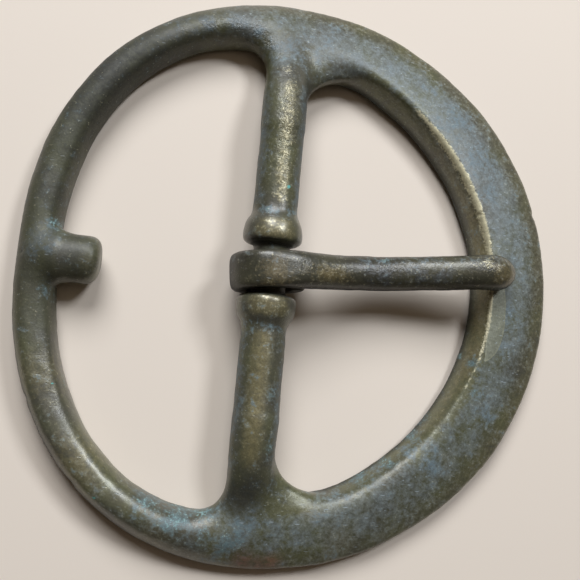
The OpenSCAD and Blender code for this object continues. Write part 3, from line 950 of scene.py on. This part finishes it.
# Finish of the brown ground and of each layer over it: colour, metallic and roughness. The oxide is hardly
# metallic, so its sheen is white
CAST_FINISH = {
    "brown": ("#5c5b4d", 0.20, 0.36),
    "umber": ("#4e4d42", 0.20, 0.36),
    "olive": ("#65664b", 0.25, 0.36),
    "dark": ("#41423a", 0.15, 0.40),
    "golden": ("#7e7755", 0.35, 0.38),
    # Grey-blue bloom, partly a painted sky reflection on the upward flats
    "bloom_and_painted_reflection": ("#788180", 0.05, 0.48),
    "blue": ("#6a7a7f", 0.00, 0.54),
    # Grime in the hollows, and painted shade where the piece lies in shade
    "dirt_and_painted_shade": ("#2b2c25", 0.10, 0.70),
    "film": ("#607374", 0.00, 0.58),
    "salts": ("#769694", 0.00, 0.75),
    "face": ("#838674", 0.20, 0.42),
    "edge": ("#8b8d78", 0.20, 0.45),
    "speck": ("#9aa7ab", 0.00, 0.60),
    "crust": ("#929685", 0.00, 0.75),
    "bare": ("#b8b190", 0.65, 0.36),
    "ridge": ("#c2bc9b", 0.35, 0.42),
    "turquoise": ("#5fa89f", 0.00, 0.70),
    "rust": ("#7a523d", 0.00, 0.70),
}

# The tongue was bent from a rolled strip. It is browner and darker than the casting
TONGUE_FINISH = {
    **CAST_FINISH,
    "brown": ("#48473b", 0.25, 0.34),
    "umber": ("#3b3a31", 0.25, 0.34),
    "olive": ("#4e4d3c", 0.25, 0.34),
    "dark": ("#31302c", 0.20, 0.38),
    "golden": ("#837650", 0.40, 0.36),
    # Pale bloom painted along the arm's top as a highlight
    "bloom_and_painted_reflection": ("#666d72", 0.20, 0.38),
    # Painted shade on the tongue's sides and underside
    "dirt_and_painted_shade": ("#201f1c", 0.10, 0.65),
}


def floor_material(colour):
    """Matt pale board, such as primed plywood: it has almost no sheen."""
    material = bpy.data.materials.new("pale_board")
    tree = empty_tree(material)
    shader = add(tree, "ShaderNodeBsdfPrincipled", {"Base Color": colour, "Roughness": 0.7})
    add(tree, "ShaderNodeOutputMaterial", {"Surface": shader.outputs["BSDF"]})
    return material


class CastingSizes(bpy.types.PropertyGroup):
    """Sizes of the casting that a maker would change."""

    ring_height: FloatProperty(
        name="Ring height", description="Height of the narrow half", default=0.005, unit="LENGTH")
    crest_height: FloatProperty(
        name="Crest height", description="Height of the crest", default=0.0044, unit="LENGTH")
    crest_width: FloatProperty(
        name="Crest width", description="From inner edge to crest", default=0.0016, unit="LENGTH")
    bevel_flatness: FloatProperty(
        name="Bevel", description="Flat (1) or rounded (0) bevel inside the crest", default=0.7,
        subtype="FACTOR")
    rim_height: FloatProperty(
        name="Rim height", description="Height of the outer rim", default=0.002, unit="LENGTH")
    side_height: FloatProperty(
        name="Side height", description="Height of the sides", default=0.0009, unit="LENGTH")
    back_bevel: FloatProperty(
        name="Back bevel", description="Bevel at the back", default=0.0005, unit="LENGTH")
    crown_shift: FloatProperty(
        name="Crown shift", description="Shift of the round half's crown towards -Y", default=0.0005,
        unit="LENGTH")
    crown_power: FloatProperty(
        name="Crown power", description="1 gives an elliptical crown, and less a flatter one",
        default=0.86)
    fillet: FloatProperty(
        name="Fillet", description="Radius between the bar and the round half", default=0.0038,
        unit="LENGTH")
    wide_fillet: FloatProperty(
        name="Wide fillet", description="Radius between the bar and the crescent", default=0.006,
        unit="LENGTH")
    stud_diameter: FloatProperty(
        name="Stud height", description="Height of the stud's section", default=0.0053, unit="LENGTH")
    stud_width: FloatProperty(
        name="Stud width", description="Width of the stud's section", default=0.0057, unit="LENGTH")
    stud_reach: FloatProperty(
        name="Stud reach", description="From the ring's edge to the stud's end", default=0.0098,
        unit="LENGTH")
    stud_rounding: FloatProperty(
        name="Stud rounding", description="Rounding of the stud's end", default=0.0013, unit="LENGTH")
    wear_depth: FloatProperty(
        name="Wear depth", description="Depth of the worn facet", default=0.00012, unit="LENGTH")
    grain: FloatProperty(
        name="Mesh size", description="Width of a face of the casting", default=0.00026, unit="LENGTH")


class TongueSizes(bpy.types.PropertyGroup):
    """Sizes of the tongue that a maker would change."""

    loop_diameter: FloatProperty(
        name="Loop diameter", description="Outer diameter of the loop", default=0.0094, unit="LENGTH")
    bore_diameter: FloatProperty(
        name="Bore", description="Diameter of the bore", default=0.0047, unit="LENGTH")
    loop_width: FloatProperty(
        name="Loop width", description="Width of the strip", default=0.0043, unit="LENGTH")
    loop_drop: FloatProperty(
        name="Side shift", description="Shift along the pivot", default=0.0003, unit="LENGTH")
    tongue_lean: FloatProperty(
        name="Lean", description="Angle from the X axis", default=math.radians(6), unit="ROTATION")
    tongue_length: FloatProperty(
        name="Length", description="From the pivot to the tip", default=0.0302, unit="LENGTH")


class StageSettings(bpy.types.PropertyGroup):
    """Settings of the floor, the light and the camera."""

    floor_colour: FloatVectorProperty(
        name="Floor", description="Colour of the floor", subtype="COLOR", size=4,
        default=linear("#e7dccc"), min=0, max=1)
    key_power: FloatProperty(
        name="Window", description="Power of the window light in watts", default=3.7, unit="POWER")
    side_power: FloatProperty(
        name="Side window", description="Power of the farther window in watts", default=1.8, unit="POWER")
    sky_power: FloatProperty(
        name="Overhead", description="Power of the overhead light in watts", default=0.15, unit="POWER")
    fill: FloatProperty(
        name="Fill", description="Strength of the room's light", default=0.035)
    lens: FloatProperty(
        name="Lens", description="Focal length in millimetres", default=48.3, unit="CAMERA")


class BUCKLE_OT_casting(bpy.types.Operator):
    """Build the casting: ring, centre bar, collars and stud"""

    bl_idname = "buckle.casting"
    bl_label = "Casting"

    def execute(self, context):
        points, quads, masks = casting_surface(context.scene.buckle_casting)
        if len(quads) > FACE_LIMIT:
            raise RuntimeError(f"the casting has {len(quads)} faces: use a larger mesh size")
        material = brass_material("cast_brass_tarnished", CAST_FINISH)
        write_piece("casting", points, quads, masks, material, "frame", "frame")
        return {"FINISHED"}


class BUCKLE_OT_tongue(bpy.types.Operator):
    """Build the tongue: loop, arm and tip"""

    bl_idname = "buckle.tongue"
    bl_label = "Tongue"

    def execute(self, context):
        points, faces = grid_mesh(tongue_surface(context.scene.buckle_tongue))
        faces = outwards(points, faces)
        quads = corner_array(faces)
        pairs = neighbour_pairs(quads)
        normals = vertex_normals(points, quads)
        calm = step_up(np.hypot(points[:, 0] - PIVOT[0], points[:, 2] - PIVOT[2]), 2.8, 3.6)
        points = np.clip(roughened(points, normals, TONGUE_WAVES, calm), TONGUE_LOW, TONGUE_HIGH)
        masks = tongue_masks(points, vertex_normals(points, quads), pairs)
        material = brass_material("bent_brass_tarnished", TONGUE_FINISH)
        write_piece("tongue_strip", points, faces, masks, material, "tongue", "tongue")
        return {"FINISHED"}


# Half the floor's width, and how far it lies under the buckle's back, in metres
FLOOR_REACH = 1.5
FLOOR_DEPTH = 0.00003

# What the lights face. The camera stands close over the lower left of the buckle and is turned a little
LIGHT_AIM = Vector((0, 0, 0.003))
CAMERA_PLACE = Vector((-0.01237, -0.01468, 0.09553))
CAMERA_AIM = Vector((0.00011, -0.00139, 0))
CAMERA_ROLL = math.radians(-5.2)


def add_floor(colour):
    """Floor of one large square."""
    mesh = bpy.data.meshes.new("floor")
    square = FLOOR_REACH * np.array([(-1, -1), (1, -1), (1, 1), (-1, 1)])
    mesh.from_pydata([(x, y, -FLOOR_DEPTH) for x, y in square], [], [(0, 1, 2, 3)])
    mesh.materials.append(floor_material(colour))
    floor = placed("floor", mesh)


def add_world(strength):
    """Weak warm light from all of the room."""
    world = bpy.data.worlds.new("room")
    tree = empty_tree(world)
    glow = add(tree, "ShaderNodeBackground", {"Color": linear("#ffe0c4"), "Strength": strength})
    add(tree, "ShaderNodeOutputWorld", {"Surface": glow.outputs["Background"]})
    bpy.context.scene.world = world


def add_light(name, place, diameter, power, colour):
    """Round area light at a place in metres, facing LIGHT_AIM."""
    data = bpy.data.lights.new(name, "AREA")
    data.shape = "DISK"
    data.size = diameter
    data.energy = power
    data.color = linear(colour)[:3]
    turn = (Vector(place) - LIGHT_AIM).to_track_quat("Z", "Y").to_matrix().to_4x4()
    placed(name, data).matrix_world = Matrix.Translation(place) @ turn


def add_camera(lens):
    """Camera at CAMERA_PLACE, looking at CAMERA_AIM and turned by CAMERA_ROLL."""
    sight = (CAMERA_AIM - CAMERA_PLACE).normalized()
    top = Vector((math.sin(CAMERA_ROLL), math.cos(CAMERA_ROLL), 0))
    right = sight.cross(top).normalized()
    turn = Matrix((right, right.cross(sight), -sight)).transposed().to_4x4()
    data = bpy.data.cameras.new("camera")
    data.lens = lens
    data.sensor_width = 36
    data.clip_start = 0.001
    camera = placed("camera", data)
    camera.matrix_world = Matrix.Translation(CAMERA_PLACE) @ turn
    bpy.context.scene.camera = camera


class BUCKLE_OT_stage(bpy.types.Operator):
    """Lay the floor, set the lights and place the camera"""

    bl_idname = "buckle.stage"
    bl_label = "Stage"

    def execute(self, context):
        stage = context.scene.buckle_stage
        add_floor(stage.floor_colour)
        add_world(stage.fill)
        add_light("window", (-0.117, 0.437, 0.456), 0.36, stage.key_power, "#f6f8ff")
        add_light("side_window", (0.275, 0.306, 0.493), 0.16, stage.side_power, "#f2f6ff")
        add_light("overhead", (0.10, 0.05, 0.60), 0.40, stage.sky_power, "#ffe9d2")
        add_camera(stage.lens)
        context.scene.view_settings.view_transform = "Standard"
        return {"FINISHED"}


class BUCKLE_PT_parts(bpy.types.Panel):
    """The buckle's pieces and settings"""

    bl_label = "Cast brass buckle"
    bl_idname = "BUCKLE_PT_parts"
    bl_space_type = "VIEW_3D"
    bl_region_type = "UI"
    bl_category = "Buckle"

    def draw(self, context):
        for operator in OPERATORS:
            self.layout.operator(operator.bl_idname)
        for group in (context.scene.buckle_casting, context.scene.buckle_tongue, context.scene.buckle_stage):
            box = self.layout.box()
            for name in group.__annotations__:
                box.prop(group, name)


GROUPS = (CastingSizes, TongueSizes, StageSettings)
OPERATORS = (BUCKLE_OT_stage, BUCKLE_OT_casting, BUCKLE_OT_tongue)


def register():
    """Registers the classes and puts the settings on the scene."""
    for cls in (*GROUPS, *OPERATORS, BUCKLE_PT_parts):
        bpy.utils.register_class(cls)
    bpy.types.Scene.buckle_casting = PointerProperty(type=CastingSizes)
    bpy.types.Scene.buckle_tongue = PointerProperty(type=TongueSizes)
    bpy.types.Scene.buckle_stage = PointerProperty(type=StageSettings)


def unregister():
    """Takes the settings and the classes away again."""
    del bpy.types.Scene.buckle_stage, bpy.types.Scene.buckle_tongue, bpy.types.Scene.buckle_casting
    for cls in reversed((*GROUPS, *OPERATORS, BUCKLE_PT_parts)):
        bpy.utils.unregister_class(cls)


def main():
    """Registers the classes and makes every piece."""
    register()
    bpy.ops.buckle.stage()
    bpy.ops.buckle.casting()
    bpy.ops.buckle.tongue()


if __name__ == "__main__":
    main()
